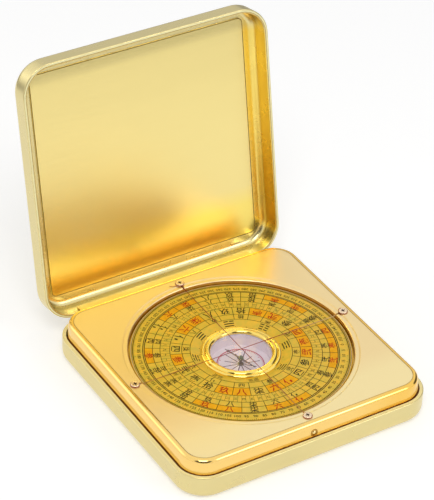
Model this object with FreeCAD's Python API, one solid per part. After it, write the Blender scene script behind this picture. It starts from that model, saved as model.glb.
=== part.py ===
import FreeCAD, Part
import math
import os
from FreeCAD import Vector

# Pocket geomantic compass in a hinged square case, in millimetres.
# The origin is the middle of the case's underside. +X runs along the hinge,
# +Y points to the hinge, -Y to the catch and +Z up. The lid stands open.

# Case outline, shared by the base shell and the lid shell
case_side = 75.0
case_corner_r = 8.5
sheet = 1.1
base_rim_z = 7.0
base_edge_r = 2.5
lid_edge_r = 3.0
lid_headroom = 1.25
rim_round = 0.25
seam = 0.15
open_angle = 100.3

# Inner body that stands in the base shell and carries the deck
body_rise = 4.3
body_lean = 0.4
body_edge_r = 1.15
body_land = 0.1
body_play = 0.3
deck_ledge = 0.35
foot_width = 3.0
foot_t = 0.8

# Deck plate let into the top of the inner body
deck_t = 1.0
deck_seam = 0.05
deck_border = 4.2
opening_round = 0.45
step_width = 1.65
step_depth = 0.15
step_slope = 0.4

# Screws that hold the deck and tie the crosshair threads
screw_edge = 1.85
screw_head_r = 1.2
screw_head_h = 0.4
screw_head_round = 0.2
screw_shank_r = 0.5
screw_tip = 0.1
cross_length = 1.1
cross_width = 0.22
cross_depth = 0.22
tie_r = 0.85

# Crosshair threads
thread_r = 0.09
thread_drop = 0.5
thread_gap = 0.02
slot_width = 0.5

# Dial, its dished middle and the well under it
dial_drop = 1.05
dial_t = 1.0
dial_gap = 0.3
dial_edge_round = 0.2
dish_rim = 0.2
dish_slope = 2.4
dish_drop = 0.9
well_wall = 0.8
well_flange_gap = 0.3
glide_t = 0.45
glide_edge = 0.7
glide_width = 2.6
well_step_gap = 1.3
running = 0.05

# Compass capsule in the middle of the dial
cup_r = 9.6
cup_wall = 1.3
cup_floor = 0.9
cup_tail = 0.55
cup_flange_width = 1.3
cup_flange_t = 0.8
card_t = 0.3
card_gap = 0.05
glass_seat = 0.35
glass_t = 0.8
bezel_overhang = 1.2
bezel_edge_h = 0.3
bezel_bead_h = 0.6
bezel_bead_width = 0.95
bezel_groove_h = 0.42
bezel_crest_h = 0.95
bezel_crest_width = 0.85
bezel_lip_h = 0.5
bush_wall = 1.35
bush_collar_width = 0.9
bush_collar_t = 0.4
bush_below = 1.0
groove_depth = 0.3
clip_t = 0.5
clip_overhang = 0.9
clip_gap_angle = 24.0

# Needle and its pivot
needle_angle = 106.0
needle_tip_r = 5.8
needle_tail_r = 5.2
needle_half_width = 0.28
needle_tip_width = 0.1
needle_t = 0.16
ring_mark_r = 0.45
ring_mark_eye_r = 0.24
ring_mark_place_share = 0.8
pivot_base_r = 0.85
pivot_base_h = 0.35
pivot_r = 0.25
pivot_headroom = 1.05
pivot_point_h = 0.9
cap_r = 0.52
cap_flange_r = 0.75
cap_flange_t = 0.18
cap_above = 0.28
cap_depth = 0.75
cap_cone_gap = 0.12
cap_seat_gap = 0.03
needle_hang = 0.25

# Hinge
hinge_out = 0.4
hinge_drop = 1.05
hinge_end = 1.65
knuckle_r = 1.15
knuckle_count = 5
knuckle_gap = 0.1
pin_r = 0.5
leaf_t = 0.4
leaf_play = 0.05
leaf_reach = 2.2
notch_clear = 0.25
lid_notch_clear = 0.95

# Spring catch in the front wall
catch_head_gap = 0.25
catch_ball_r = 0.75
catch_lip = 0.18
catch_sleeve_wall = 0.27
catch_travel = 0.3
catch_play = 0.03
spring_wire_r = 0.11
spring_turns = 3
spring_open_share = 0.6
arcs_per_turn = 4
dimple_r = 0.8
dimple_depth = 0.35

# Lid liner
liner_border = 3.55
liner_corner_r = 1.6
liner_t = 0.3
liner_edge = 0.2

# Overrun of every cutting tool past the face that it cuts
over = 1.0

# How near an edge lies to a level or a radius to count as being on it
edge_match = 0.02

# Case: outlines, the inner body and the deck, from the outside in
case_half = case_side / 2
inner_half = case_half - sheet
inner_corner_r = case_corner_r - sheet
base_inner_r = base_edge_r - sheet
lid_inner_r = lid_edge_r - sheet
body_half = inner_half - body_play
body_corner_r = inner_corner_r - body_play
body_top_half = body_half - body_lean
body_top_corner_r = body_corner_r - body_lean
body_top_z = base_rim_z + body_rise
body_wall = body_lean + body_edge_r + body_land + deck_ledge
wall_half = body_half - body_wall
wall_corner_r = body_corner_r - body_wall
rebate_half = body_top_half - body_edge_r - body_land
rebate_corner_r = body_top_corner_r - body_edge_r - body_land
deck_half = rebate_half - deck_seam
deck_corner_r = rebate_corner_r - deck_seam
deck_low_z = body_top_z - deck_t
opening_r = deck_half - deck_border
step_r = opening_r + step_width
screw_circle_r = deck_half - screw_edge

# Capsule radii, from the cup's outside
cup_bore_r = cup_r - cup_wall
glass_r = cup_bore_r + glass_seat
cup_flange_r = cup_r + cup_flange_width
bezel_r = cup_r + bezel_overhang
bezel_lip_r = cup_bore_r
bezel_groove_r = bezel_r - bezel_bead_width
bezel_crest_r = bezel_lip_r + bezel_crest_width
bush_bore_r = cup_r + running
bush_r = bush_bore_r + bush_wall
bush_collar_r = bush_r + bush_collar_width
clip_r = cup_r + clip_overhang

# Dial and well radii
dial_r = opening_r - dial_gap
dish_inner_r = bezel_r + dish_rim
dish_outer_r = dish_inner_r + dish_slope
well_outer_r = opening_r + well_wall
well_flange_r = wall_half - well_flange_gap
well_step_r = bush_collar_r + well_step_gap
glide_outer_r = dial_r - glide_edge
glide_inner_r = glide_outer_r - glide_width

# Levels, from the deck down to the bottom of the cup and up to the needle
well_top_z = deck_low_z
well_flange_low_z = well_top_z - well_wall
dial_top_z = body_top_z - dial_drop
dial_low_z = dial_top_z - dial_t
well_floor_z = dial_low_z - running - glide_t
dish_z = dial_top_z - dish_drop
dish_low_z = dish_z - dial_t
cup_flange_z = dish_low_z - cup_flange_t
bush_top_z = cup_flange_z - running
well_inner_floor_z = bush_top_z - bush_collar_t
bush_low_z = well_inner_floor_z - well_wall - bush_below
clip_top_z = bush_low_z - running
clip_low_z = clip_top_z - clip_t
groove_r = cup_r - groove_depth
groove_top_z = clip_top_z + running
groove_low_z = clip_low_z - running
cup_low_z = groove_low_z - cup_tail
cup_floor_z = cup_low_z + cup_floor
card_z = cup_floor_z + card_t
glass_low_z = dish_z - glass_t
pivot_tip_z = glass_low_z - pivot_headroom
needle_top_z = pivot_tip_z - needle_hang
needle_low_z = needle_top_z - needle_t

# Hinge, lid levels and the notch in both rims
hinge_y = case_half + hinge_out
hinge_z = base_rim_z - hinge_drop
leaf_half = case_half - case_corner_r - hinge_end
leaf_outer_y = inner_half - leaf_play
leaf_inner_y = leaf_outer_y - leaf_t
leaf_pocket_y = leaf_inner_y - leaf_play
leaf_pocket_low_z = hinge_z - knuckle_r - leaf_reach - notch_clear
notch_half = leaf_half + notch_clear
notch_low_z = hinge_z - knuckle_r - notch_clear
lid_rim_z = base_rim_z + seam
lid_notch_z = hinge_z + knuckle_r + lid_notch_clear
lid_ceiling_z = body_top_z + screw_head_h + lid_headroom + liner_t
lid_top_z = lid_ceiling_z + sheet
liner_half = inner_half - liner_border
liner_low_z = lid_ceiling_z - liner_t

# Threads
thread_x_z = body_top_z - thread_drop
thread_y_z = thread_x_z + thread_r + thread_gap + thread_r
tie_floor_z = thread_x_z - thread_r - thread_gap

# Catch
catch_bore_r = catch_ball_r + catch_play
catch_sleeve_r = catch_bore_r + catch_sleeve_wall
catch_lip_r = catch_ball_r - catch_lip
catch_z = well_flange_low_z - catch_head_gap - catch_sleeve_r
catch_lean = body_lean * (catch_z - base_rim_z) / body_rise
catch_face_y = -(body_half - catch_lean)
ball_set = math.sqrt(catch_ball_r ** 2 - catch_lip_r ** 2) + catch_play
ball_y = catch_face_y + ball_set
spring_coil_r = catch_ball_r - spring_wire_r
spring_pitch = 2 * spring_wire_r + catch_travel * spring_open_share
spring_front_y = (ball_y + catch_play
                  + math.sqrt((catch_ball_r + spring_wire_r) ** 2 - spring_coil_r ** 2))
spring_back_y = spring_front_y + spring_turns * spring_pitch
catch_bore_end_y = spring_back_y + spring_wire_r + catch_play


def outline(half, corner_r, z):
    """Closed wire of a square with rounded corners at one level."""
    mid = half - corner_r
    diag = corner_r * math.sqrt(0.5)
    edges = []
    for quarter in range(4):
        turn = FreeCAD.Rotation(Vector(0, 0, 1), 90 * quarter)
        side_from = turn.multVec(Vector(half, -mid, z))
        side_to = turn.multVec(Vector(half, mid, z))
        arc_mid = turn.multVec(Vector(mid + diag, mid + diag, z))
        arc_end = turn.multVec(Vector(mid, half, z))
        edges.append(Part.makeLine(side_from, side_to))
        edges.append(Part.Arc(side_to, arc_mid, arc_end).toShape())
    return Part.Wire(edges)


def slab(half, corner_r, z_low, z_high):
    """Rounded-square plate or block."""
    face = Part.Face(outline(half, corner_r, z_low))
    return face.extrude(Vector(0, 0, z_high - z_low))


def block(x0, x1, y0, y1, z0, z1):
    """Box between two corners."""
    return Part.makeBox(x1 - x0, y1 - y0, z1 - z0, Vector(x0, y0, z0))


def disc(radius, z_low, z_high):
    """Upright cylinder on the Z axis."""
    return Part.makeCylinder(radius, z_high - z_low, Vector(0, 0, z_low))


def ring(inner_r, outer_r, z_low, z_high):
    """Flat ring on the Z axis."""
    return disc(outer_r, z_low, z_high).cut(disc(inner_r, z_low - over, z_high + over))


def revolved(points):
    """Solid of revolution about Z from an outline of (radius, height) points."""
    corners = [Vector(r, 0, z) for r, z in points]
    face = Part.Face(Part.makePolygon(corners + [corners[0]]))
    return face.revolve(Vector(0, 0, 0), Vector(0, 0, 1), 360)


def level_edges(shape, z):
    """Edges that lie flat at one level."""
    flat = []
    for edge in shape.Edges:
        box = edge.BoundBox
        if abs(box.ZMin - z) < edge_match and abs(box.ZMax - z) < edge_match:
            flat.append(edge)
    return flat


def circle_edges(shape, z, radius):
    """Edges at one level that are circles of one radius."""
    return [edge for edge in level_edges(shape, z)
            if isinstance(edge.Curve, Part.Circle) and abs(edge.Curve.Radius - radius) < edge_match]


def rounded_level(shape, z, radius):
    """The shape with every edge at one level rounded."""
    return shape.makeFillet(radius, level_edges(shape, z))


def around(shape, angle):
    """The shape turned about Z."""
    turned = shape.copy()
    turned.rotate(Vector(0, 0, 0), Vector(0, 0, 1), angle)
    return turned


def opened(shape):
    """A lid piece modelled shut, swung open about the hinge axis."""
    swung = shape.copy()
    swung.rotate(Vector(0, hinge_y, hinge_z), Vector(1, 0, 0), -open_angle)
    return swung


def along_x(radius, x0, x1, y, z):
    """Cylinder parallel to X."""
    return Part.makeCylinder(radius, x1 - x0, Vector(x0, y, z), Vector(1, 0, 0))


def along_y(radius, y0, y1, z):
    """Cylinder parallel to Y in the middle of the case."""
    return Part.makeCylinder(radius, y1 - y0, Vector(0, y0, z), Vector(0, 1, 0))


def base_shell():
    """Pressed pan: rounded bottom edge, thin wall, hinge notch at the back."""
    outer = rounded_level(slab(case_half, case_corner_r, 0, base_rim_z), 0, base_edge_r)
    hollow = slab(inner_half, inner_corner_r, sheet, base_rim_z + over)
    hollow = rounded_level(hollow, sheet, base_inner_r)
    shell = rounded_level(outer.cut(hollow), base_rim_z, rim_round)
    notch = block(-notch_half, notch_half, inner_half - leaf_t, case_half + over,
                  notch_low_z, base_rim_z + over)
    return shell.cut(notch)


def body_frame():
    """Wall of the inner body: foot, leaning side, rounded top, pocket for the hinge strips."""
    lower = slab(body_half, body_corner_r, sheet, base_rim_z)
    lower = rounded_level(lower, sheet, base_inner_r)
    upper = Part.makeLoft([outline(body_half, body_corner_r, base_rim_z),
                           outline(body_top_half, body_top_corner_r, body_top_z)], True, True)
    upper = rounded_level(upper, body_top_z, body_edge_r)
    cavity = slab(wall_half, wall_corner_r, sheet + foot_t, body_top_z + over)
    foot_half = wall_half - foot_width
    foot_hole = slab(foot_half, wall_corner_r, sheet - over, body_top_z)
    rebate = slab(rebate_half, rebate_corner_r, deck_low_z, body_top_z + over)
    frame = lower.fuse(upper).cut(cavity).cut(foot_hole).cut(rebate)
    catch_hole = along_y(catch_sleeve_r + catch_play, catch_face_y - over,
                         catch_face_y + body_wall + over, catch_z)
    leaf_pocket = block(-notch_half, notch_half, leaf_pocket_y, body_half + over,
                        leaf_pocket_low_z, body_top_z + over)
    return frame.cut(catch_hole).cut(leaf_pocket)


def deck_plate():
    """Flat plate with the round dial opening, screw seats and thread slots."""
    plate = slab(deck_half, deck_corner_r, deck_low_z, body_top_z)
    plate = plate.cut(revolved([
        (0, body_top_z - step_depth),
        (step_r - step_slope, body_top_z - step_depth),
        (step_r, body_top_z),
        (step_r, body_top_z + over),
        (0, body_top_z + over),
    ]))
    plate = plate.cut(disc(opening_r, deck_low_z - over, body_top_z + over))
    rim = circle_edges(plate, body_top_z - step_depth, opening_r)
    plate = plate.makeFillet(opening_round, rim)
    hole = Part.makeCylinder(screw_shank_r + thread_gap, deck_t + 2 * over,
                             Vector(screw_circle_r, 0, deck_low_z - over))
    tie = Part.makeCylinder(tie_r, body_top_z + over - tie_floor_z,
                            Vector(screw_circle_r, 0, tie_floor_z))
    slot = block(opening_r - over, screw_circle_r, -slot_width / 2, slot_width / 2,
                 tie_floor_z, body_top_z + over)
    for quarter in range(4):
        for tool in (hole, tie, slot):
            plate = plate.cut(around(tool, 90 * quarter))
    return plate


def dial_well():
    """Stepped tray under the deck that the dial turns in."""
    floor_low = well_floor_z - well_wall
    inner_low = well_inner_floor_z - well_wall
    tray = revolved([
        (bush_r + thread_gap, inner_low),
        (well_step_r, inner_low),
        (well_step_r, floor_low),
        (well_outer_r, floor_low),
        (well_outer_r, well_flange_low_z),
        (well_flange_r, well_flange_low_z),
        (well_flange_r, well_top_z),
        (opening_r, well_top_z),
        (opening_r, well_floor_z),
        (well_step_r - well_wall, well_floor_z),
        (well_step_r - well_wall, well_inner_floor_z),
        (bush_r + thread_gap, well_inner_floor_z),
    ])
    hole = Part.makeCylinder(screw_shank_r + thread_gap, well_wall + 2 * over,
                             Vector(screw_circle_r, 0, well_flange_low_z - over))
    for quarter in range(4):
        tray = tray.cut(around(hole, 90 * quarter))
    return tray


def well_bush():
    """Collared bearing ring that the capsule turns in."""
    return revolved([
        (bush_bore_r, bush_low_z),
        (bush_r, bush_low_z),
        (bush_r, well_inner_floor_z),
        (bush_collar_r, well_inner_floor_z),
        (bush_collar_r, bush_top_z),
        (bush_bore_r, bush_top_z),
    ])


def glide_ring():
    """Felt ring under the rim of the dial."""
    return ring(glide_inner_r, glide_outer_r, well_floor_z, well_floor_z + glide_t)


def dial_disc():
    """Turned dial with a dished middle round the capsule."""
    bore = cup_r + thread_gap
    return revolved([
        (bore, dish_low_z),
        (dish_inner_r, dish_low_z),
        (dish_outer_r, dial_low_z),
        (dial_r, dial_low_z),
        (dial_r, dial_top_z - dial_edge_round),
        (dial_r - dial_edge_round, dial_top_z),
        (dish_outer_r, dial_top_z),
        (dish_inner_r, dish_z),
        (bore, dish_z),
    ])


def capsule_cup():
    """Turned cup that holds the needle, carries the dial and turns in the bush."""
    return revolved([
        (0, cup_low_z),
        (cup_r, cup_low_z),
        (cup_r, groove_low_z),
        (groove_r, groove_low_z),
        (groove_r, groove_top_z),
        (cup_r, groove_top_z),
        (cup_r, cup_flange_z),
        (cup_flange_r, cup_flange_z),
        (cup_flange_r, dish_low_z),
        (cup_r, dish_low_z),
        (cup_r, dish_z),
        (glass_r + card_gap, dish_z),
        (glass_r + card_gap, glass_low_z),
        (cup_bore_r, glass_low_z),
        (cup_bore_r, cup_floor_z),
        (0, cup_floor_z),
    ])


def retaining_clip():
    """Open spring ring in the cup's groove, under the bush."""
    clip = ring(groove_r + thread_gap, clip_r, clip_low_z, clip_top_z)
    mouth_half = clip_r * math.sin(math.radians(clip_gap_angle / 2))
    mouth = block(0, clip_r + over, -mouth_half, mouth_half,
                  clip_low_z - over, clip_top_z + over)
    return clip.cut(mouth)


def compass_card():
    """Printed card on the floor of the cup."""
    return ring(pivot_base_r + card_gap, cup_bore_r - card_gap, cup_floor_z, card_z)


def needle_pivot():
    """Pointed post on a small foot."""
    point_low = pivot_tip_z - pivot_point_h
    return revolved([
        (0, cup_floor_z),
        (pivot_base_r, cup_floor_z),
        (pivot_base_r, cup_floor_z + pivot_base_h),
        (pivot_r, cup_floor_z + pivot_base_h),
        (pivot_r, point_low),
        (0, pivot_tip_z),
    ])


def capsule_glass():
    """Clear disc let into the top of the cup."""
    return disc(glass_r, glass_low_z, dish_z)


def bezel_ring():
    """Polished ring over the edge of the glass: a low bead outside and a higher one inside."""
    bead_r = (bezel_r + bezel_groove_r) / 2
    foot_out = Vector(bezel_r, 0, dish_z)
    edge_out = Vector(bezel_r, 0, dish_z + bezel_edge_h)
    bead = Vector(bead_r, 0, dish_z + bezel_bead_h)
    groove = Vector(bezel_groove_r, 0, dish_z + bezel_groove_h)
    crest = Vector(bezel_crest_r, 0, dish_z + bezel_crest_h)
    edge_in = Vector(bezel_lip_r, 0, dish_z + bezel_lip_h)
    foot_in = Vector(bezel_lip_r, 0, dish_z)
    edges = [
        Part.makeLine(foot_out, edge_out),
        Part.Arc(edge_out, bead, groove).toShape(),
        Part.Arc(groove, crest, edge_in).toShape(),
        Part.makeLine(edge_in, foot_in),
        Part.makeLine(foot_in, foot_out),
    ]
    return Part.Face(Part.Wire(edges)).revolve(Vector(0, 0, 0), Vector(0, 0, 1), 360)


def needle():
    """Slim steel needle with a ring mark near its tip and an eye for the cap."""
    low = needle_low_z
    half = needle_half_width
    tip = needle_tip_width
    corners = [
        Vector(needle_tip_r, tip / 2, low),
        Vector(0, half, low),
        Vector(-needle_tail_r, tip, low),
        Vector(-needle_tail_r, -tip, low),
        Vector(0, -half, low),
        Vector(needle_tip_r, -tip / 2, low),
    ]
    face = Part.Face(Part.makePolygon(corners + [corners[0]]))
    blade = face.extrude(Vector(0, 0, needle_t))
    hub = disc(cap_flange_r, low, low + needle_t)
    mark_x = needle_tip_r * ring_mark_place_share
    mark = Part.makeCylinder(ring_mark_r, needle_t, Vector(mark_x, 0, low))
    eye = Part.makeCylinder(ring_mark_eye_r, needle_t + 2 * over, Vector(mark_x, 0, low - over))
    bore = disc(cap_r + thread_gap, low - over, low + over)
    shape = blade.fuse([hub, mark]).cut(eye).cut(bore)
    return around(shape.removeSplitter(), needle_angle)


def needle_cap():
    """Brass cap with a conical seat that rests on the point of the pivot."""
    seat_z = pivot_tip_z + cap_seat_gap
    low = seat_z - cap_depth
    mouth_r = pivot_r * cap_depth / pivot_point_h + cap_cone_gap
    return revolved([
        (0, seat_z),
        (mouth_r, low),
        (cap_r, low),
        (cap_r, needle_top_z),
        (cap_flange_r, needle_top_z),
        (cap_flange_r, needle_top_z + cap_flange_t),
        (cap_r, needle_top_z + cap_flange_t),
        (cap_r, seat_z + cap_above),
        (0, seat_z + cap_above),
    ])


def thread_screws():
    """Four cross-recessed screws on the axes, through deck and well."""
    head_z = body_top_z
    shank_low = well_flange_low_z - screw_tip
    head = Part.makeCylinder(screw_head_r, screw_head_h, Vector(screw_circle_r, 0, head_z))
    head = rounded_level(head, head_z + screw_head_h, screw_head_round)
    shank = Part.makeCylinder(screw_shank_r, head_z - shank_low,
                              Vector(screw_circle_r, 0, shank_low))
    screw = head.fuse(shank)
    recess_low = head_z + screw_head_h - cross_depth
    for wide, deep in ((cross_length, cross_width), (cross_width, cross_length)):
        screw = screw.cut(block(screw_circle_r - wide / 2, screw_circle_r + wide / 2,
                                -deep / 2, deep / 2, recess_low, recess_low + over))
    return Part.makeCompound([around(screw, 90 * quarter) for quarter in range(4)])


def crosshair_thread(z, angle):
    """Taut thread over the dial, looped round two shanks and pressed flat under the heads."""
    loop_inner_r = screw_shank_r + thread_gap
    loop_outer_r = loop_inner_r + thread_r + thread_r
    reach = screw_circle_r - loop_inner_r - thread_r
    thread = along_x(thread_r, -reach, reach, 0, z)
    for side in (-1, 1):
        loop = ring(loop_inner_r, loop_outer_r, z - thread_r, z + thread_r)
        loop.translate(Vector(side * screw_circle_r, 0, 0))
        thread = thread.fuse(loop)
    return around(thread, angle)


def knuckle_spans(own):
    """X ranges of the knuckles: even ones for the base, odd ones for the lid."""
    pitch = (2 * leaf_half + knuckle_gap) / knuckle_count
    spans = []
    for index in range(knuckle_count):
        if index % 2 == own:
            start = -leaf_half + index * pitch
            spans.append((start, start + pitch - knuckle_gap))
    return spans


def hinge_leaf(own, side):
    """Strip behind the wall with rolled knuckles; side is -1 below or 1 above the pin."""
    tab_far = hinge_z + side * knuckle_r
    tab_near = tab_far - side * leaf_t
    strip_end = hinge_z + side * (knuckle_r + leaf_reach)
    leaf = block(-leaf_half, leaf_half, leaf_inner_y, leaf_outer_y,
                 min(tab_near, strip_end), max(tab_near, strip_end))
    for start, end in knuckle_spans(own):
        leaf = leaf.fuse(block(start, end, leaf_inner_y, hinge_y,
                               min(tab_near, tab_far), max(tab_near, tab_far)))
        leaf = leaf.fuse(along_x(knuckle_r, start, end, hinge_y, hinge_z))
    bore = along_x(pin_r + catch_play, -leaf_half - over, leaf_half + over, hinge_y, hinge_z)
    return leaf.cut(bore).removeSplitter()


def hinge_pin():
    """Straight pin through all knuckles."""
    return along_x(pin_r, -leaf_half, leaf_half, hinge_y, hinge_z)


def catch_sleeve():
    """Blind sleeve for the ball and its spring, staked over the ball in front."""
    sleeve = along_y(catch_sleeve_r, catch_face_y, catch_bore_end_y + catch_sleeve_wall, catch_z)
    bore = along_y(catch_bore_r, ball_y, catch_bore_end_y, catch_z)
    mouth = along_y(catch_lip_r + catch_play, catch_face_y - over, ball_y, catch_z)
    pocket = Part.makeSphere(catch_bore_r, Vector(0, ball_y, catch_z))
    return sleeve.cut(bore).cut(mouth).cut(pocket)


def catch_ball():
    """Ball that clicks into the dimple of the lid."""
    return Part.makeSphere(catch_ball_r, Vector(0, ball_y, catch_z))


def catch_spring():
    """Coil that cups the ball from behind and can close up by the ball's travel."""

    def place(turns):
        angle = 2 * math.pi * turns
        return Vector(spring_coil_r * math.cos(angle), spring_coil_r * math.sin(angle),
                      spring_pitch * turns)

    arcs = []
    for index in range(spring_turns * arcs_per_turn):
        start, middle, end = [place((index + part) / arcs_per_turn) for part in (0, 0.5, 1)]
        arcs.append(Part.Arc(start, middle, end).toShape())
    along = arcs[0].tangentAt(arcs[0].FirstParameter)
    section = Part.Wire(Part.makeCircle(spring_wire_r, place(0), along))
    coil = Part.Wire(arcs).makePipeShell([section], True, False)
    coil.rotate(Vector(0, 0, 0), Vector(1, 0, 0), -90)
    coil.translate(Vector(0, spring_front_y, catch_z))
    return coil


def lid_shell():
    """Pressed lid, modelled shut: rounded top edge, thin wall, hinge notch, dimple."""
    outer = slab(case_half, case_corner_r, lid_rim_z, lid_top_z)
    outer = rounded_level(outer, lid_top_z, lid_edge_r)
    hollow = slab(inner_half, inner_corner_r, lid_rim_z - over, lid_ceiling_z)
    hollow = rounded_level(hollow, lid_ceiling_z, lid_inner_r)
    shell = rounded_level(outer.cut(hollow), lid_rim_z, rim_round)
    notch = block(-notch_half, notch_half, inner_half - leaf_t, case_half + over,
                  lid_rim_z - over, lid_notch_z)
    dimple = along_y(dimple_r, -inner_half - dimple_depth, -inner_half + over, catch_z)
    return opened(shell.cut(notch).cut(dimple))


def lid_liner():
    """Flat satin plate inside the lid."""
    plate = slab(liner_half, liner_corner_r, liner_low_z, lid_ceiling_z)
    plate = plate.makeChamfer(liner_edge, level_edges(plate, liner_low_z))
    return opened(plate)


parts = {
    "base_shell": base_shell(),
    "body_frame": body_frame(),
    "deck_plate": deck_plate(),
    "dial_well": dial_well(),
    "well_bush": well_bush(),
    "glide_ring": glide_ring(),
    "thread_screws": thread_screws(),
    "crosshair_thread_x": crosshair_thread(thread_x_z, 0),
    "crosshair_thread_y": crosshair_thread(thread_y_z, 90),
    "hinge_leaf_base": hinge_leaf(0, -1),
    "hinge_pin": hinge_pin(),
    "catch_sleeve": catch_sleeve(),
    "catch_ball": catch_ball(),
    "catch_spring": catch_spring(),
    "lid_shell": lid_shell(),
    "lid_liner": lid_liner(),
    "hinge_leaf_lid": opened(hinge_leaf(1, 1)),
    "dial_disc": dial_disc(),
    "capsule_cup": capsule_cup(),
    "retaining_clip": retaining_clip(),
    "compass_card": compass_card(),
    "needle_pivot": needle_pivot(),
    "capsule_glass": capsule_glass(),
    "bezel_ring": bezel_ring(),
    "needle": needle(),
    "needle_cap": needle_cap(),
}

os.makedirs("parts", exist_ok=True)
for name, shape in parts.items():
    assert shape.isValid(), name
    shape.exportStep("parts/" + name + ".step")
    print(name, len(shape.Solids), round(shape.Volume, 3))
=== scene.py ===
import math

import bpy
from mathutils import Matrix, Vector


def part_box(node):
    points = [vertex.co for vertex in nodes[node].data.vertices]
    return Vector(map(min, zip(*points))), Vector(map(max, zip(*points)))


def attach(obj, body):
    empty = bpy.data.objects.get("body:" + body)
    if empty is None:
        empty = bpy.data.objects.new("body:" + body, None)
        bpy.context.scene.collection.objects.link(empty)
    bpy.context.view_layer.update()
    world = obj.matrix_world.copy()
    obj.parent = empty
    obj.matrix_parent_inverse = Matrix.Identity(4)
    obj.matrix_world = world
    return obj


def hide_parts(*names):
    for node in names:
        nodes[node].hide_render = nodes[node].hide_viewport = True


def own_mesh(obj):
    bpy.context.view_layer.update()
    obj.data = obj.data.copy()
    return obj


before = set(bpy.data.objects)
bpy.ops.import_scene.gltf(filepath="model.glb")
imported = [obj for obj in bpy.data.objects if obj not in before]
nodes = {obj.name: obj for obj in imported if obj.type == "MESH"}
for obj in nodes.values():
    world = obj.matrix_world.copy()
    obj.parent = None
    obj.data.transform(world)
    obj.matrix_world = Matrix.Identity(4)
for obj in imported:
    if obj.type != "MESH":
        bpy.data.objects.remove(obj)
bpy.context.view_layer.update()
mm = 0.001

# View of the photograph: where the camera looks from, and how far
view_azimuth = -32.3
view_elevation = 35.79
view_roll = 2.03
view_distance = 671.21 * mm
view_target = Vector((21.9, 48.52, 5.0)) * mm
view_lens = 168.65

# Levels and radii read from the frame
dial_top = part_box("dial_disc")[1].z
dial_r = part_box("dial_disc")[1].x
dish_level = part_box("bezel_ring")[0].z
bezel_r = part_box("bezel_ring")[1].x
card_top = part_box("compass_card")[1].z
deck_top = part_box("deck_plate")[1].z
deck_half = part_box("deck_plate")[1].x
liner_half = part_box("lid_liner")[1].x
body_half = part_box("body_frame")[1].x

# Other measures of the CAD's shapes; the lid's levels are those of the shut lid
opening_r = 30.2 * mm
screw_circle_r = 32.55 * mm
screw_head_r = 1.2 * mm
deck_corner_r = 5.4 * mm
body_corner_r = 7.1 * mm
case_half = 37.5 * mm
case_corner_r = 8.5 * mm
rim_level = 7.0 * mm
lid_rim_level = 7.15 * mm
hinge_place = Vector((0, 37.9, 5.95)) * mm
liner_level = 12.95 * mm
liner_corner_r = 1.6 * mm
lid_angle = 100.3

# Directions of the open lid: along it from the hinge and back, and out through its back
lid_up = (0, 0.179, 0.984)
lid_down = (0, -0.179, -0.984)
lid_out = (0, 0.984, -0.179)

# Directions of the case
across = (1, 0, 0)
backwards = (0, 1, 0)
forwards = (0, -1, 0)

# Where painted reflections, painted light and painted sheen change in the finishes, and where the
# liner's top bends, from and to, along the directions above
liner_painted_reflection_span = (-44 * mm, -24 * mm)
liner_bends = (79.4 * mm, 83.4 * mm)
lid_right_starts = (29 * mm, 33 * mm)
lid_right_ends = (36.62 * mm, 36.48 * mm)
lid_low_starts = (17.5 * mm, 20 * mm)
lid_high_ends = (83 * mm, 77 * mm)
lid_back_ends = (44.3 * mm, 43.8 * mm)
body_painted_reflection_span = (-15 * mm, 34 * mm)
deck_painted_light_span = (5 * mm, 30 * mm)
thread_painted_sheen_span = (-28 * mm, 28 * mm)

# Rings of the dial's print, from the rim inwards
dish_inner_r = bezel_r + 0.2 * mm
dish_outer_r = dish_inner_r + 2.4 * mm
rim_line_r = 29.0 * mm
degree_low_r = 26.3 * mm
outer_top_r = 25.9 * mm
outer_low_r = 23.7 * mm
second_low_r = 21.7 * mm
fine_low_r = 19.1 * mm
inner_low_r = 15.9 * mm
small_low_r = 13.7 * mm
trigram_low_r = 11.15 * mm

# Numerals of the dial: the radius at which they stand, their height and their greatest width
degree_text = (27.35 * mm, 1.3 * mm, 1.9 * mm)
outer_text = (24.8 * mm, 2.4 * mm, 2.9 * mm)
second_text = (22.7 * mm, 2.2 * mm, 2.6 * mm)
fine_text = (20.4 * mm, 1.05 * mm, 0.9 * mm)
inner_text = (17.5 * mm, 2.8 * mm, 2.9 * mm)
small_text = (14.8 * mm, 1.8 * mm, 2.0 * mm)

# How the rings are divided: counts of cells, and angles in degrees
cell_count = 24
cell_span = 360 / cell_count
outer_centre = -23.7
inner_centre = -16.2
fine_count = 120
orange_cells = (0, 1, 4, 5, 7, 8, 12, 15, 16, 20, 21, 23)

# Widths and heights of the print, and the step of its arcs
thin_line = 0.15 * mm
main_line = 0.22 * mm
cell_lift = 0.008 * mm
line_lift = 0.014 * mm
glyph_lift = 0.02 * mm
degrees_per_step = 3.0

# Lines laid on the rims and seams, painted shade and highlight among them
corner_steps = 8
seam_lift = 0.006 * mm
gap_shadow_reach = 0.36 * mm
rim_inset = 0.26 * mm

# Shares of a noise or slope at which a colour or gloss starts and ends, and the shine of ink
ramp_start = 0.3
ramp_end = 0.7
faint_shine = 0.15

# Brightness of the surround and the floor, and where the floor fades in reflections
surround_light = 0.55
floor_white = 0.82
floor_glow = 0.35
floor_fades = (0.3, 0.45)

# Lamps: name, place, size and power; all shine at one point
lamp_aim = Vector((0, 0.01, 0.02))
lamps = (("key", (-0.25, -0.38, 0.74), 0.35, 1.9),
         ("fill", (0.29, -0.44, 0.4), 0.2, 0.43),
         ("back", (-0.45, 0.55, 0.4), 0.5, 0.4))

# Places that are dark in reflections: direction, inner and outer angle, and depth
dark_places = (((-0.433, -0.686, 0.585), 27, 33, 0.9),
               ((0.965, 0.1, 0.2), 21, 29, 0.9),
               ((0.72, 0.69, 0.08), 7, 18, 0.7),
               ((0.43, 0.84, 0.32), 8, 27, 0.3))

plain_numerals = "一二三四五六七八九十"
full_numerals = "壱弐参四伍六柒八玖拾"


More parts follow.
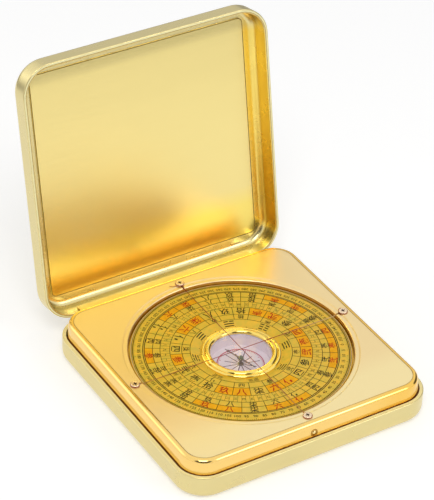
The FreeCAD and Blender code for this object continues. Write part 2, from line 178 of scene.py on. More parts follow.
def linear(red, green, blue):
    """Shader colour of an sRGB colour given from 0 to 255."""
    shares = [value / 255 for value in (red, green, blue)]
    return [s / 12.92 if s <= 0.04045 else ((s + 0.055) / 1.055) ** 2.4 for s in shares] + [1.0]


def shaded(colour, share):
    """The colour made darker or lighter by a share."""
    return [min(1.0, part * share) for part in colour[:3]] + [1.0]


class Surface:
    """A node material whose Principled shader is filled in step by step."""

    def __init__(self, name, colour, metallic, roughness):
        self.material = bpy.data.materials.new(name)
        self.material.use_nodes = True
        self.tree = self.material.node_tree
        self.shader = self.tree.nodes["Principled BSDF"]
        self.set("Base Color", colour)
        self.set("Metallic", metallic)
        self.set("Roughness", roughness)
        self.place = self.node("ShaderNodeTexCoord").outputs["Object"]

    def set(self, socket, value):
        self.shader.inputs[socket].default_value = value

    def link(self, source, target):
        self.tree.links.new(source, target)

    def node(self, kind, **values):
        made = self.tree.nodes.new(kind)
        for key, value in values.items():
            setattr(made, key, value)
        return made

    def noise(self, per_metre, detail=3.0, stretch=(1, 1, 1)):
        """Noise over the piece, with its patches about one part in per_metre across."""
        mapping = self.node("ShaderNodeMapping")
        mapping.inputs["Scale"].default_value = stretch
        texture = self.node("ShaderNodeTexNoise")
        texture.inputs["Scale"].default_value = per_metre
        texture.inputs["Detail"].default_value = detail
        self.link(self.place, mapping.inputs["Vector"])
        self.link(mapping.outputs["Vector"], texture.inputs["Vector"])
        return texture.outputs["Fac"]

    def along(self, direction):
        """How far a point lies along a direction, in metres."""
        share = self.node("ShaderNodeVectorMath", operation="DOT_PRODUCT")
        share.inputs[1].default_value = direction
        self.link(self.place, share.inputs[0])
        return share.outputs["Value"]

    def between(self, source, start, end):
        """Zero where the source has one value, growing evenly to one where it has another."""
        scale = self.node("ShaderNodeMapRange")
        scale.inputs["From Min"].default_value = start
        scale.inputs["From Max"].default_value = end
        self.link(source, scale.inputs["Value"])
        return scale.outputs["Result"]

    def slope(self, direction, start, end):
        """Zero before a place along a direction, growing evenly to one at the end."""
        return self.between(self.along(direction), start, end)

    def product(self, first, *others):
        """The sources multiplied with one another."""
        for other in others:
            both = self.node("ShaderNodeMath", operation="MULTIPLY")
            self.link(first, both.inputs[0])
            self.link(other, both.inputs[1])
            first = both.outputs[0]
        return first

    def rise(self, direction, start, end):
        """Zero before a place along a direction, growing ever faster to one at the end."""
        share = self.slope(direction, start, end)
        return self.product(share, share)

    def less(self, source):
        """One minus the source."""
        rest = self.node("ShaderNodeMath", operation="SUBTRACT")
        rest.inputs[0].default_value = 1.0
        self.link(source, rest.inputs[1])
        return rest.outputs[0]

    def tint(self, source, low, high):
        """Base colour running from low to high with the source."""
        ramp = self.node("ShaderNodeValToRGB")
        first, last = ramp.color_ramp.elements
        first.position, first.color = ramp_start, low
        last.position, last.color = ramp_end, high
        self.link(source, ramp.inputs["Fac"])
        self.link(ramp.outputs["Color"], self.shader.inputs["Base Color"])

    def gloss(self, source, low, high):
        """Roughness running from low to high with the source."""
        scale = self.node("ShaderNodeMapRange")
        scale.inputs["From Min"].default_value = ramp_start
        scale.inputs["From Max"].default_value = ramp_end
        scale.inputs["To Min"].default_value = low
        scale.inputs["To Max"].default_value = high
        self.link(source, scale.inputs["Value"])
        self.link(scale.outputs["Result"], self.shader.inputs["Roughness"])

    def bump(self, *reliefs):
        """Reliefs laid over one another, each a source with its strength and height."""
        below = None
        for source, strength, height in reliefs:
            relief = self.node("ShaderNodeBump")
            relief.inputs["Strength"].default_value = strength
            relief.inputs["Distance"].default_value = height
            self.link(source, relief.inputs["Height"])
            if below:
                self.link(below, relief.inputs["Normal"])
            below = relief.outputs["Normal"]
        self.link(below, self.shader.inputs["Normal"])

    def patches(self, roughness):
        """Soft patches of gloss on metal."""
        self.gloss(self.noise(120), roughness * 0.88, roughness * 1.15)

    def grain(self, height):
        """Fine grain of metal."""
        self.bump((self.noise(2500, 2.0), 0.35, height))

    def coat(self, weight, roughness):
        """Clear lacquer over the surface."""
        self.set("Coat Weight", weight)
        self.set("Coat Roughness", roughness)


def metal(name, colour, roughness, relief=0.0):
    """Metal with soft patches of colour and gloss."""
    made = Surface(name, colour, 1.0, roughness)
    made.tint(made.noise(60), shaded(colour, 0.96), shaded(colour, 1.02))
    made.patches(roughness)
    if relief:
        made.grain(relief)
    return made.material


def rolled_sheet(colour, low, roughness):
    """Satin sheet with fine lines and slight waves along X, deeper gold low down as a painted
    reflection of the deck.

    Its top edge is bent back a little.
    """
    made = Surface("liner_satin", colour, 1.0, roughness)
    # Painted reflection: the colour deepens to gold low down, where the deck is reflected.
    made.tint(made.rise(lid_down, *liner_painted_reflection_span), colour, low)
    lines = made.noise(2200, 3.0, (0.04, 1, 1))
    waves = made.noise(130, 1.0, (0.1, 1, 1))
    made.gloss(lines, roughness * 0.95, roughness * 1.05)
    bend = made.less(made.rise(lid_up, *liner_bends))
    made.bump((waves, 1.0, 0.03 * mm), (bend, 1.0, 0.17 * mm))
    made.coat(0.5, 0.3)
    return made.material


def pressed_lid(colour, inside, roughness):
    """Pressed metal, with painted reflected gold light on the inside of its right wall."""
    made = Surface("lid_champagne_painted_glow", colour, 1.0, roughness)
    # Painted reflection: gold bounce light tinted inside the right wall, within these spans.
    share = made.product(made.slope(across, *lid_right_starts),
                         made.slope(across, *lid_right_ends),
                         made.slope(lid_up, *lid_low_starts),
                         made.slope(lid_up, *lid_high_ends),
                         made.slope(lid_out, *lid_back_ends))
    made.tint(share, colour, inside)
    made.patches(roughness)
    made.grain(0.001 * mm)
    return made.material


def polished_body(colour, right, roughness):
    """Lacquered polished sheet, with painted deeper gold reflection towards its right."""
    made = Surface("body_polished_painted_reflection", colour, 1.0, roughness)
    # Painted reflection: the colour deepens towards the right.
    made.tint(made.rise(across, *body_painted_reflection_span), colour, right)
    made.patches(roughness)
    made.coat(0.5, roughness)
    return made.material


def satin_deck(colour, front, roughness):
    """Lacquered satin plate, with painted light making it a little paler towards its front edge.
    """
    made = Surface("deck_satin", colour, 1.0, roughness)
    # Painted light: the colour pales towards the front edge.
    made.tint(made.rise(forwards, *deck_painted_light_span), colour, front)
    made.patches(roughness)
    made.grain(0.006 * mm)
    made.coat(1.0, roughness)
    return made.material


def ink(name, colour, roughness=0.45):
    """Printed ink, a little uneven."""
    made = Surface(name, colour, 0.0, roughness)
    made.tint(made.noise(900), shaded(colour, 0.85), shaded(colour, 1.1))
    made.gloss(made.noise(600), roughness * 0.9, roughness * 1.1)
    made.set("Specular IOR Level", faint_shine)
    return made.material


def thread(name, colour):
    """Twisted thread."""
    made = Surface(name, colour, 0.0, 0.7)
    twist = made.noise(5000)
    made.tint(twist, shaded(colour, 0.7), shaded(colour, 1.3))
    made.bump((twist, 0.5, 0.02 * mm))
    return made.material


def taut_thread(name, direction, colour, start, end):
    """Twisted thread along a direction, of one colour in its middle and paler colours at its ends,
    painted as sheen.
    """
    made = Surface(name, colour, 0.0, 0.7)
    # Painted sheen: paler colours towards the thread's ends.
    ramp = made.node("ShaderNodeValToRGB")
    stops = ramp.color_ramp.elements
    stops[0].color = start
    stops[1].color = end
    for position in (0.32, 0.74):
        stops.new(position).color = colour
    made.link(made.slope(direction, *thread_painted_sheen_span), ramp.inputs["Fac"])
    made.link(ramp.outputs["Color"], made.shader.inputs["Base Color"])
    made.bump((made.noise(5000), 0.5, 0.02 * mm))
    return made.material


def seam():
    """Painted shade in the joint round the deck, painted darker along its left and right sides."""
    made = Surface("seam_brown", linear(186, 148, 70), 0.0, 0.5)
    place = made.along(across)
    share = made.between(made.product(place, place), (deck_half - 1.5 * mm) ** 2, deck_half ** 2)
    # Painted shade: darker towards the left and right sides.
    made.tint(share, linear(206, 172, 96), linear(128, 88, 36))
    made.set("Specular IOR Level", faint_shine)
    return made.material


def glass():
    """Clear glass with faint marks on it, which lets light through to the card."""
    made = Surface("clear_glass", [1, 1, 1, 1], 0.0, 0.0)
    made.set("Transmission Weight", 1.0)
    made.set("IOR", 1.3)
    made.gloss(made.noise(300), 0.0, 0.03)
    path = made.node("ShaderNodeLightPath")
    either = made.node("ShaderNodeMath", operation="MAXIMUM")
    clear = made.node("ShaderNodeBsdfTransparent")
    mixer = made.node("ShaderNodeMixShader")
    made.link(path.outputs["Is Shadow Ray"], either.inputs[0])
    made.link(path.outputs["Is Diffuse Ray"], either.inputs[1])
    made.link(either.outputs[0], mixer.inputs[0])
    made.link(made.shader.outputs[0], mixer.inputs[1])
    made.link(clear.outputs[0], mixer.inputs[2])
    made.link(mixer.outputs[0], made.tree.nodes["Material Output"].inputs["Surface"])
    return made.material


def dial_ground():
    """The dial's yellow ground, a little greener in places."""
    made = Surface("dial_ground", linear(236, 192, 50), 0.0, 0.45)
    made.tint(made.noise(500, 4.0), linear(218, 188, 54), linear(250, 196, 46))
    made.gloss(made.noise(400), 0.36, 0.48)
    return made.material


def felt():
    """Short-haired dark felt."""
    made = Surface("dark_felt", linear(70, 55, 40), 0.0, 0.95)
    made.tint(made.noise(3000), linear(50, 38, 28), linear(86, 70, 50))
    made.bump((made.noise(6000, 4.0), 0.6, 0.05 * mm))
    return made.material


def pale(name, colour, roughness=0.6):
    """Pale card or moulded plastic, faintly mottled."""
    made = Surface(name, colour, 0.0, roughness)
    made.tint(made.noise(500), shaded(colour, 0.95), shaded(colour, 1.03))
    made.gloss(made.noise(900), roughness * 0.9, roughness * 1.1)
    return made.material


champagne = linear(228, 212, 152)
gold = linear(249, 209, 120)
satin_gold = linear(246, 225, 147)
lavender = linear(238, 226, 234)
red_brown = linear(156, 56, 30)

finishes = {
    "base_shell": metal("shell_champagne", champagne, 0.3, relief=0.002 * mm),
    # The lid's second colour is painted reflected gold light inside its right wall.
    "lid_shell": pressed_lid(champagne, linear(255, 226, 118), 0.27),
    "body_frame": polished_body(gold, linear(248, 200, 92), 0.12),
    "deck_plate": satin_deck(linear(251, 223, 159), linear(255, 233, 168), 0.32),
    "lid_liner": rolled_sheet(satin_gold, linear(255, 229, 118), 0.26),
    "dial_well": metal("well_brass", linear(236, 204, 120), 0.25),
    "well_bush": metal("bush_brass", linear(206, 170, 88), 0.3),
    "glide_ring": felt(),
    "thread_screws": metal("screw_plate", linear(246, 220, 186), 0.25),
    # Crosshair threads: red, with paler ends painted as sheen.
    "crosshair_thread_x": taut_thread("thread_red_x_painted_sheen", across, red_brown, linear(186, 124, 58),
                                      linear(222, 186, 130)),
    "crosshair_thread_y": taut_thread("thread_red_y_painted_sheen", backwards, red_brown, linear(190, 128, 70),
                                      red_brown),
    "hinge_leaf_base": metal("hinge_brass_base", linear(232, 204, 130), 0.3),
    "hinge_leaf_lid": metal("hinge_brass_lid", linear(232, 204, 130), 0.3),
    "hinge_pin": metal("pin_steel", linear(190, 186, 176), 0.3),
    "catch_sleeve": metal("catch_sleeve_gold", linear(190, 148, 74), 0.25),
    "catch_ball": metal("catch_ball_gold", linear(250, 226, 160), 0.08),
    "catch_spring": metal("spring_steel", linear(170, 170, 170), 0.3),
    "dial_disc": dial_ground(),
    "capsule_cup": pale("cup_plastic", lavender, 0.45),
    "retaining_clip": metal("clip_steel", linear(170, 170, 170), 0.3),
    "compass_card": pale("card_paper", lavender),
    "needle_pivot": ink("pivot_grey", linear(120, 112, 112), 0.5),
    "capsule_glass": glass(),
    "bezel_ring": metal("bezel_gold", linear(250, 220, 116), 0.09),
    "needle": ink("needle_dark", linear(130, 114, 120), 0.5),
    "needle_cap": ink("cap_grey", linear(128, 134, 118), 0.4),
}

for node_name, finish in finishes.items():
    worn = nodes[node_name].data.materials
    worn.clear()
    worn.append(finish)


def new_piece(name, points, faces, body, material):
    """A mesh as a piece that rides with its body."""
    mesh = bpy.data.meshes.new(name)
    mesh.from_pydata(points, [], faces)
    mesh.materials.append(material)
    made = bpy.data.objects.new(name, mesh)
    bpy.context.scene.collection.objects.link(made)
    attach(made, body)


class FlatPrint:
    """Printed shapes on the dial or the card, collected into one mesh."""

    def __init__(self, level, lift):
        self.level = level
        self.lift = lift
        self.points = []
        self.faces = []

    def add(self, places, faces):
        """Faces over (x, y) places, laid on the printed surface."""
        first = len(self.points)
        for x, y in places:
            self.points.append((x, y, self.level(math.hypot(x, y)) + self.lift))
        self.faces += [[first + index for index in face] for face in faces]

    def band(self, inner_r, outer_r, start, end):
        """Part of a ring between two radii and two angles in degrees."""
        steps = max(1, math.ceil(abs(end - start) / degrees_per_step))
        places = []
        for radius in (inner_r, outer_r):
            for step in range(steps + 1):
                angle = math.radians(start + (end - start) * step / steps)
                places.append((radius * math.cos(angle), radius * math.sin(angle)))
        high = steps + 1
        self.add(places, [(s, high + s, high + s + 1, s + 1) for s in range(steps)])

    def circle(self, radius, width):
        """Full ring line."""
        self.band(radius - width / 2, radius + width / 2, 0, 360)

    def spoke(self, angle, inner_r, outer_r, width):
        """Radial line."""
        turn = math.radians(angle)
        along = (math.cos(turn), math.sin(turn))
        places = []
        for radius in (inner_r, outer_r):
            for side in (-width / 2, width / 2):
                places.append((radius * along[0] - side * along[1],
                               radius * along[1] + side * along[0]))
        self.add(places, [(0, 2, 3, 1)])

    def text(self, body, angle, radius, height, most_wide):
        """Short text with its feet outwards, narrowed where it would be too wide."""
        turn = math.radians(angle)
        up = (-math.cos(turn), -math.sin(turn))
        right = (up[1], -up[0])
        outline, faces, wide = glyph(body)
        spread = height * min(1.0, most_wide / (wide * height))
        places = []
        for x, y in outline:
            places.append((-radius * up[0] + spread * x * right[0] + height * y * up[0],
                           -radius * up[1] + spread * x * right[1] + height * y * up[1]))
        self.add(places, faces)

    def piece(self, name, material):
        """The collected print as a piece on the dial."""
        new_piece(name, self.points, self.faces, "dial", material)


glyph_cache = {}
letter_middle = 0.37
letter_swell = 0.012


def glyph(body):
    """Points, faces and width of a short text, centred, with letters one unit high."""
    if body not in glyph_cache:
        curve = bpy.data.curves.new("glyph", "FONT")
        curve.body = body
        curve.align_x = "CENTER"
        curve.resolution_u = 2
        curve.offset = letter_swell
        carrier = bpy.data.objects.new("glyph", curve)
        mesh = bpy.data.meshes.new_from_object(carrier)
        outline = [(v.co.x, v.co.y - letter_middle) for v in mesh.vertices]
        wide = max(x for x, y in outline) - min(x for x, y in outline)
        glyph_cache[body] = (outline, [tuple(p.vertices) for p in mesh.polygons], wide)
        bpy.data.objects.remove(carrier)
        bpy.data.curves.remove(curve)
        bpy.data.meshes.remove(mesh)
    return glyph_cache[body]


def dial_level(radius):
    """Height of the dial's face: flat outside, sloping down to the capsule."""
    share = (radius - dish_inner_r) / (dish_outer_r - dish_inner_r)
    return dish_level + (dial_top - dish_level) * min(1.0, max(0.0, share))


def card_level(radius):
    """Height of the capsule's card, which is flat."""
    return card_top


def dial_lines():
    """Ring lines and cell divisions of the dial."""
    sheet = FlatPrint(dial_level, line_lift)
    for radius in (rim_line_r, outer_top_r, degree_low_r):
        sheet.circle(radius, main_line)
    for radius in (outer_low_r, second_low_r, fine_low_r, inner_low_r, small_low_r):
        sheet.circle(radius, thin_line)
    for cell in range(cell_count):
        outer_edge = outer_centre + cell_span * (cell + 0.5)
        inner_edge = inner_centre + cell_span * (cell + 0.5)
        sheet.spoke(outer_edge, second_low_r, outer_top_r, thin_line)
        sheet.spoke(inner_edge, small_low_r, fine_low_r, thin_line)
        sheet.spoke(inner_edge, trigram_low_r, small_low_r, thin_line)
    sheet.piece("dial_lines", ink("ink_brown", linear(56, 42, 6)))


def degree_ring():
    """Degree ticks and their numbers, and the finely divided ring."""
    sheet = FlatPrint(dial_level, line_lift)
    for degree in range(360):
        long = 0.75 * mm if degree % 5 == 0 else 0.4 * mm
        sheet.spoke(outer_centre + degree, rim_line_r - long, rim_line_r, width=0.6 * thin_line)
    for step in range(0, 360, 5):
        sheet.text(str(step), outer_centre - step, *degree_text)
    half_cell = 180 / fine_count
    for index in range(fine_count):
        angle = outer_centre + 360 * index / fine_count + half_cell
        sheet.spoke(angle, fine_low_r, second_low_r, width=0.5 * thin_line)
        if index % 2:
            sheet.text(plain_numerals[index // 2 % 10], angle + half_cell, *fine_text)
    sheet.piece("dial_degrees", ink("ink_olive", linear(66, 54, 10)))


def orange_grounds():
    """Orange grounds of half the cells in two rings."""
    sheet = FlatPrint(dial_level, cell_lift)
    for cell in orange_cells:
        for centre, low, high in ((outer_centre, outer_low_r, outer_top_r),
                                  (inner_centre, inner_low_r, fine_low_r)):
            middle = centre - cell_span * cell
            sheet.band(low, high, middle - cell_span / 2, middle + cell_span / 2)
    sheet.piece("dial_orange_cells", ink("ink_orange", linear(255, 178, 20), 0.5))


def cell_numbers():
    """Plain numbers in the cells: red on orange, dark elsewhere."""
    red = FlatPrint(dial_level, glyph_lift)
    dark = FlatPrint(dial_level, glyph_lift)
    for cell in range(cell_count):
        sheet = red if cell in orange_cells else dark
        outer = outer_centre - cell_span * cell
        inner = inner_centre - cell_span * cell
        body = full_numerals[cell % 10]
        sheet.text(body, outer, *outer_text)
        sheet.text(body, inner, *inner_text)
        dark.text(body, outer, *second_text)
        if cell % 2:
            dark.text(full_numerals[cell // 2 % 10], inner, *small_text)
    red.piece("dial_red_numbers", ink("ink_red", linear(190, 24, 6)))
    dark.piece("dial_dark_numbers", ink("ink_dark", linear(34, 34, 12)))


def dial_edge():
    """Pale ring along the dial's edge as a painted highlight, with a fine dark line inside it."""
    pale_ring = FlatPrint(dial_level, line_lift)
    pale_ring.circle(dial_r - 0.34 * mm, width=0.2 * mm)
    pale_ring.piece("dial_edge_pale", ink("dial_edge_painted_highlight", linear(226, 194, 134)))
    dark_ring = FlatPrint(dial_level, line_lift)
    dark_ring.circle(dial_r - 0.54 * mm, width=0.14 * mm)
    dark_ring.piece("dial_edge_dark", ink("dial_edge_dark_line", linear(96, 66, 16)))


def trigrams():
    """The eight traditional trigrams of whole and broken bars."""
    sheet = FlatPrint(dial_level, glyph_lift)
    bar = 0.3 * mm
    first_row = 0.45 * mm
    row_pitch = 0.68 * mm
    half_span = 6.2
    half_gap = 0.9
    for index, bars in enumerate(("101", "000", "110", "111", "010", "100", "001", "011")):
        middle = inner_centre + 360 * index / 8
        for row, whole in enumerate(bars):
            low = trigram_low_r + first_row + row_pitch * row
            spans = ((-half_span, half_span),)
            if whole == "0":
                spans = ((-half_span, -half_gap), (half_gap, half_span))
            for start, end in spans:
                sheet.band(low, low + bar, middle + start, middle + end)
    sheet.piece("dial_trigrams", ink("ink_trigram", linear(66, 58, 18)))


def card_print():
    """Pink ring with ticks, and purple rays, on the capsule's card."""
    pink = FlatPrint(card_level, line_lift)
    pink_ring_r = 6.36 * mm
    pink.circle(pink_ring_r, width=0.26 * mm)
    for tick in range(72):
        long = 0.9 * mm if tick % 9 == 0 else 0.5 * mm
        pink.spoke(5 * tick, pink_ring_r - long, pink_ring_r, width=0.16 * mm)
    pink.piece("card_pink_ring", ink("ink_pink", linear(206, 72, 108)))
    purple = FlatPrint(card_level, line_lift)
    ray_low_r, short_ray_r, long_ray_r = 1.0 * mm, 4.4 * mm, 5.4 * mm
    for ray in range(12):
        end_r = long_ray_r if ray % 2 else short_ray_r
        purple.spoke(30 * ray + 16, ray_low_r, end_r, width=0.22 * mm)
    purple.piece("card_rays", ink("ink_purple", linear(96, 52, 84)))


dial_lines()
degree_ring()
orange_grounds()
cell_numbers()
dial_edge()
trigrams()
card_print()


def screw_recesses():
    """Painted shade of each screw's cross recess: a dark cross level with the head."""
    level = deck_top + 0.405 * mm
    arm, half_slot = 0.56 * mm, 0.17 * mm
    points, faces = [], []
    for quarter in range(4):
        turn = Matrix.Rotation(math.radians(90 * quarter), 4, "Z")
        for wide, deep in ((arm, half_slot), (half_slot, arm)):
            first = len(points)
            for x, y in ((-wide, -deep), (wide, -deep), (wide, deep), (-wide, deep)):
                points.append(turn @ Vector((screw_circle_r + x, y, level)))
            faces.append([first + corner for corner in range(4)])
    new_piece("screw_recesses", points, faces, "case",
              ink("recess_painted_shade", linear(74, 44, 30), 0.7))


def thread_tie(index, tail):
    """Two turns of thread round one screw's head, with a short cut end where tail gives one."""
    turn = Matrix.Rotation(math.radians(90 * index), 4, "Z")
    curve = bpy.data.curves.new("thread_tie", "CURVE")
    curve.dimensions = "3D"
    curve.bevel_depth = 0.065 * mm
    curve.bevel_resolution = 2
    wind_r = screw_head_r + 0.07 * mm
    wind_start, wind_span, wind_steps = 180, 720, 32
    places = []
    for step in range(wind_steps + 1):
        angle = math.radians(wind_start + wind_span * step / wind_steps)
        rise = (0.09 + 0.14 * step / wind_steps) * mm
        places.append(Vector((screw_circle_r + wind_r * math.cos(angle),
                              wind_r * math.sin(angle), deck_top + rise)))
    if tail:
        places += [Vector((screw_circle_r + x * mm, y * mm, deck_top + z * mm))
                   for x, y, z in tail]
    spline = curve.splines.new("NURBS")
    spline.points.add(len(places) - 1)
    for point, place in zip(spline.points, places):
        point.co = (*(turn @ place), 1)
    spline.order_u = 3
    spline.use_endpoint_u = True
    curve.materials.append(thread("thread_tie_red", linear(186, 118, 84)))
    made = bpy.data.objects.new("thread_tie_" + "abcd"[index], curve)
    bpy.context.scene.collection.objects.link(made)
    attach(made, "case")


screw_recesses()
thread_tie(0, ((-1.0, 0.9, 0.1), (-0.4, 1.5, 0.09), (0.3, 1.6, 0.09)))
thread_tie(1, ((-1.1, 1.0, 0.1), (-0.5, 2.0, 0.09), (0.2, 3.2, 0.09)))
thread_tie(2, ())
thread_tie(3, ())


def outline_band(name, half, corner_r, width, level, body, material, turn=Matrix(),
                 open_back=None):
    """Flat band along the inside of a rounded square, all round or open at its back.

    With a number as open_back, the straight back side is left out, and so many steps of the
    corners at its ends.
    """
    points, faces = [], []
    for quarter in range(4):
        for step in range(corner_steps + 1):
            angle = math.radians(90 * (quarter + step / corner_steps))
            middle = [math.copysign(half - corner_r, math.cos(math.radians(90 * quarter + 45))),
                      math.copysign(half - corner_r, math.sin(math.radians(90 * quarter + 45)))]
            for radius in (corner_r - width, corner_r):
                points.append(turn @ Vector((middle[0] + radius * math.cos(angle),
                                             middle[1] + radius * math.sin(angle), level)))
    count = len(points)
    for first in range(0, count, 2):
        after = (first + 2) % count
        if open_back is None or abs(first // 2 - corner_steps) > open_back:
            faces.append((first, first + 1, after + 1, after))
    new_piece(name, points, faces, body, material)


open_lid = (Matrix.Translation(hinge_place) @ Matrix.Rotation(math.radians(-lid_angle), 4, "X")
            @ Matrix.Translation(-hinge_place))
# Painted shade in the joint round the deck.
outline_band("deck_seam", deck_half, deck_corner_r, width=0.11 * mm, level=deck_top + seam_lift,
             body="case", material=seam())
# Painted shadow: a dark brown band in the gap between the body and the base's rim.
outline_band("gap_painted_shadow", body_half + gap_shadow_reach, body_corner_r + gap_shadow_reach, width=0.35 * mm,
             level=rim_level - 0.12 * mm, body="case",
             material=ink("gap_shadow_brown", linear(92, 48, 14), 0.7), open_back=6)
outline_band("base_rim_face", case_half - rim_inset, case_corner_r - rim_inset, width=0.76 * mm,
             level=rim_level + seam_lift, body="case",
             material=pale("rim_matt", linear(252, 238, 172), 0.5),
             open_back=0)
# Painted highlight and painted shade: a bright line and a darker groove line along the lid's rim.
for name, inset, width, colour in (("lid_rim_painted_highlight", rim_inset, 0.38 * mm, linear(255, 246, 190)),
                                   ("lid_rim_painted_groove_shade", 0.64 * mm, 0.2 * mm, linear(194, 164, 92))):
    outline_band(name, case_half - inset, case_corner_r - inset, width,
                 level=lid_rim_level - 0.01 * mm, body="lid", material=pale(name, colour, 0.5),
                 turn=open_lid, open_back=0)
# Painted shade: a brown line round the liner's edge, where shade falls between the liner and the
# shell.
outline_band("liner_edge_shade", liner_half, liner_corner_r, width=0.22 * mm,
             level=liner_level - seam_lift, body="lid",
             material=ink("liner_edge_shade_brown", linear(132, 106, 44), 0.5),
             turn=open_lid)


def well_line():
    """Thin orange-brown line round the opening's wall, a little below the deck's top."""
    radius = opening_r - 0.012 * mm
    low, high = deck_top - 0.6 * mm, deck_top - 0.34 * mm
    points, faces = [], []
    steps = 180
    for step in range(steps):
        angle = 2 * math.pi * step / steps
        for level in (low, high):
            points.append((radius * math.cos(angle), radius * math.sin(angle), level))
        after = (step + 1) % steps
        faces.append((2 * step, 2 * step + 1, 2 * after + 1, 2 * after))
    new_piece("well_line", points, faces, "case",
              ink("well_line_brown", linear(204, 136, 56), 0.6))


well_line()


def pressed_spring():
    """The catch's coil as a piece of its own that rides with the case, in place of the hidden
    part.
    """
    coil = bpy.data.objects.new("catch_coil", nodes["catch_spring"].data.copy())
    bpy.context.scene.collection.objects.link(coil)
    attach(coil, "case")
    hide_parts("catch_spring")
    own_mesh(coil)


pressed_spring()


def math_node(tree, operation, *inputs):
    """A maths node fed with sockets or plain numbers; gives its output."""
    made = tree.nodes.new("ShaderNodeMath")
    made.operation = operation
    for index, value in enumerate(inputs):
        if isinstance(value, (int, float)):
            made.inputs[index].default_value = value
        else:
            tree.links.new(value, made.inputs[index])
    return made.outputs[0]


def light_path_mix(tree, seen, unseen, output):
    """Shows one shader to the camera, glossy and transmission rays, and another to the rest."""
    path = tree.nodes.new("ShaderNodeLightPath")
    mixer = tree.nodes.new("ShaderNodeMixShader")
    share = path.outputs["Is Camera Ray"]
    for ray in ("Is Glossy Ray", "Is Transmission Ray"):
        share = math_node(tree, "MAXIMUM", share, path.outputs[ray])
    tree.links.new(share, mixer.inputs[0])
    tree.links.new(unseen, mixer.inputs[1])
    tree.links.new(seen, mixer.inputs[2])
    tree.links.new(mixer.outputs[0], output)
    return path


def make_world():
    """White surround with dark places that only reflections show."""
    world = bpy.data.worlds.new("studio")
    world.use_nodes = True
    bpy.context.scene.world = world
    tree = world.node_tree
    tree.nodes.clear()
    output = tree.nodes.new("ShaderNodeOutputWorld")
    seen = tree.nodes.new("ShaderNodeBackground")
    seen.inputs["Color"].default_value = (1, 1, 1, 1)
    unseen = tree.nodes.new("ShaderNodeBackground")
    unseen.inputs["Color"].default_value = (1, 1, 1, 1)
    unseen.inputs["Strength"].default_value = surround_light
    path = light_path_mix(tree, seen.outputs[0], unseen.outputs[0], output.inputs["Surface"])
    direction = tree.nodes.new("ShaderNodeTexCoord").outputs["Generated"]
    dark = 0.0
    for towards, inner, outer, depth in dark_places:
        nearness = tree.nodes.new("ShaderNodeVectorMath")
        nearness.operation = "DOT_PRODUCT"
        nearness.inputs[1].default_value = towards
        tree.links.new(direction, nearness.inputs[0])
        patch = tree.nodes.new("ShaderNodeMapRange")
        patch.interpolation_type = "SMOOTHSTEP"
        patch.inputs["From Min"].default_value = math.cos(math.radians(outer))
        patch.inputs["From Max"].default_value = math.cos(math.radians(inner))
        patch.inputs["To Max"].default_value = depth
        tree.links.new(nearness.outputs["Value"], patch.inputs["Value"])
        dark = math_node(tree, "MAXIMUM", dark, patch.outputs[0])
    dark = math_node(tree, "MULTIPLY", dark, path.outputs["Is Glossy Ray"])
    strength = math_node(tree, "SUBTRACT", 1.0, dark)
    tree.links.new(strength, seen.inputs["Strength"])


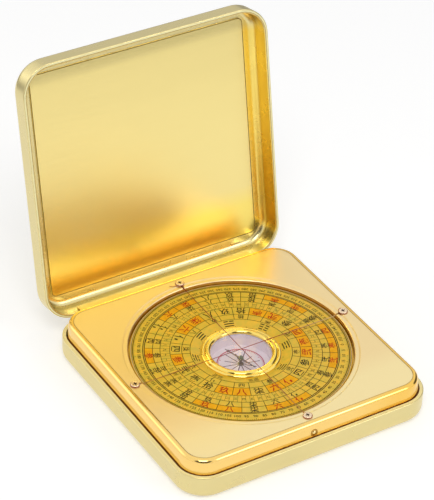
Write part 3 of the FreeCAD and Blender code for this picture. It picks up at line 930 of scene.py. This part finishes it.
def make_floor():
    """Plain white floor that keeps the object's shadow, dimmer far off in reflections."""
    mesh = bpy.data.meshes.new("floor")
    half = 3.0
    level = -0.02 * mm
    corners = [(x * half, y * half, level) for x, y in ((-1, -1), (1, -1), (1, 1), (-1, 1))]
    mesh.from_pydata(corners, [], [(0, 1, 2, 3)])
    floor = bpy.data.objects.new("floor", mesh)
    bpy.context.scene.collection.objects.link(floor)
    material = bpy.data.materials.new("floor_white")
    material.use_nodes = True
    tree = material.node_tree
    tree.nodes.clear()
    output = tree.nodes.new("ShaderNodeOutputMaterial")
    diffuse = tree.nodes.new("ShaderNodeBsdfDiffuse")
    diffuse.inputs["Color"].default_value = (floor_white, floor_white, floor_white, 1)
    glow = tree.nodes.new("ShaderNodeEmission")
    glow.inputs["Strength"].default_value = floor_glow
    both = tree.nodes.new("ShaderNodeAddShader")
    tree.links.new(diffuse.outputs[0], both.inputs[0])
    tree.links.new(glow.outputs[0], both.inputs[1])
    far = tree.nodes.new("ShaderNodeEmission")
    far.inputs["Strength"].default_value = floor_glow
    fade = tree.nodes.new("ShaderNodeMixShader")
    distance = tree.nodes.new("ShaderNodeVectorMath")
    distance.operation = "LENGTH"
    place = tree.nodes.new("ShaderNodeTexCoord").outputs["Object"]
    tree.links.new(place, distance.inputs[0])
    reach = tree.nodes.new("ShaderNodeMapRange")
    reach.inputs["From Min"].default_value = floor_fades[0]
    reach.inputs["From Max"].default_value = floor_fades[1]
    tree.links.new(distance.outputs["Value"], reach.inputs["Value"])
    path = light_path_mix(tree, fade.outputs[0], diffuse.outputs[0], output.inputs["Surface"])
    share = math_node(tree, "MULTIPLY", reach.outputs[0], path.outputs["Is Glossy Ray"])
    tree.links.new(share, fade.inputs[0])
    tree.links.new(both.outputs[0], fade.inputs[1])
    tree.links.new(far.outputs[0], fade.inputs[2])
    mesh.materials.append(material)


def make_lamp(name, place, size, power):
    """Soft square lamp that shines on the case."""
    lamp = bpy.data.lights.new(name, "AREA")
    lamp.size = size
    lamp.energy = power
    holder = bpy.data.objects.new(name, lamp)
    bpy.context.scene.collection.objects.link(holder)
    holder.location = Vector(place)
    holder.rotation_euler = (lamp_aim - holder.location).to_track_quat("-Z", "Y").to_euler()


def make_camera():
    """Camera at the photograph's viewing angle."""
    azimuth, elevation, roll = (math.radians(a) for a in (view_azimuth, view_elevation, view_roll))
    back = Vector((math.sin(azimuth) * math.cos(elevation),
                   -math.cos(azimuth) * math.cos(elevation), math.sin(elevation)))
    right = Vector((math.cos(azimuth), math.sin(azimuth), 0))
    up = back.cross(right)
    rolled_right = math.cos(roll) * right + math.sin(roll) * up
    rolled_up = math.cos(roll) * up - math.sin(roll) * right
    data = bpy.data.cameras.new("camera")
    data.lens = view_lens
    data.clip_start = 10 * mm
    camera = bpy.data.objects.new("camera", data)
    bpy.context.scene.collection.objects.link(camera)
    turned = Matrix((rolled_right, rolled_up, back)).transposed().to_4x4()
    camera.matrix_world = Matrix.Translation(view_target + view_distance * back) @ turned
    bpy.context.scene.camera = camera


make_world()
make_floor()
for lamp_name, lamp_place, lamp_size, lamp_power in lamps:
    make_lamp(lamp_name, lamp_place, lamp_size, lamp_power)
make_camera()
bpy.context.scene.view_settings.view_transform = "Standard"
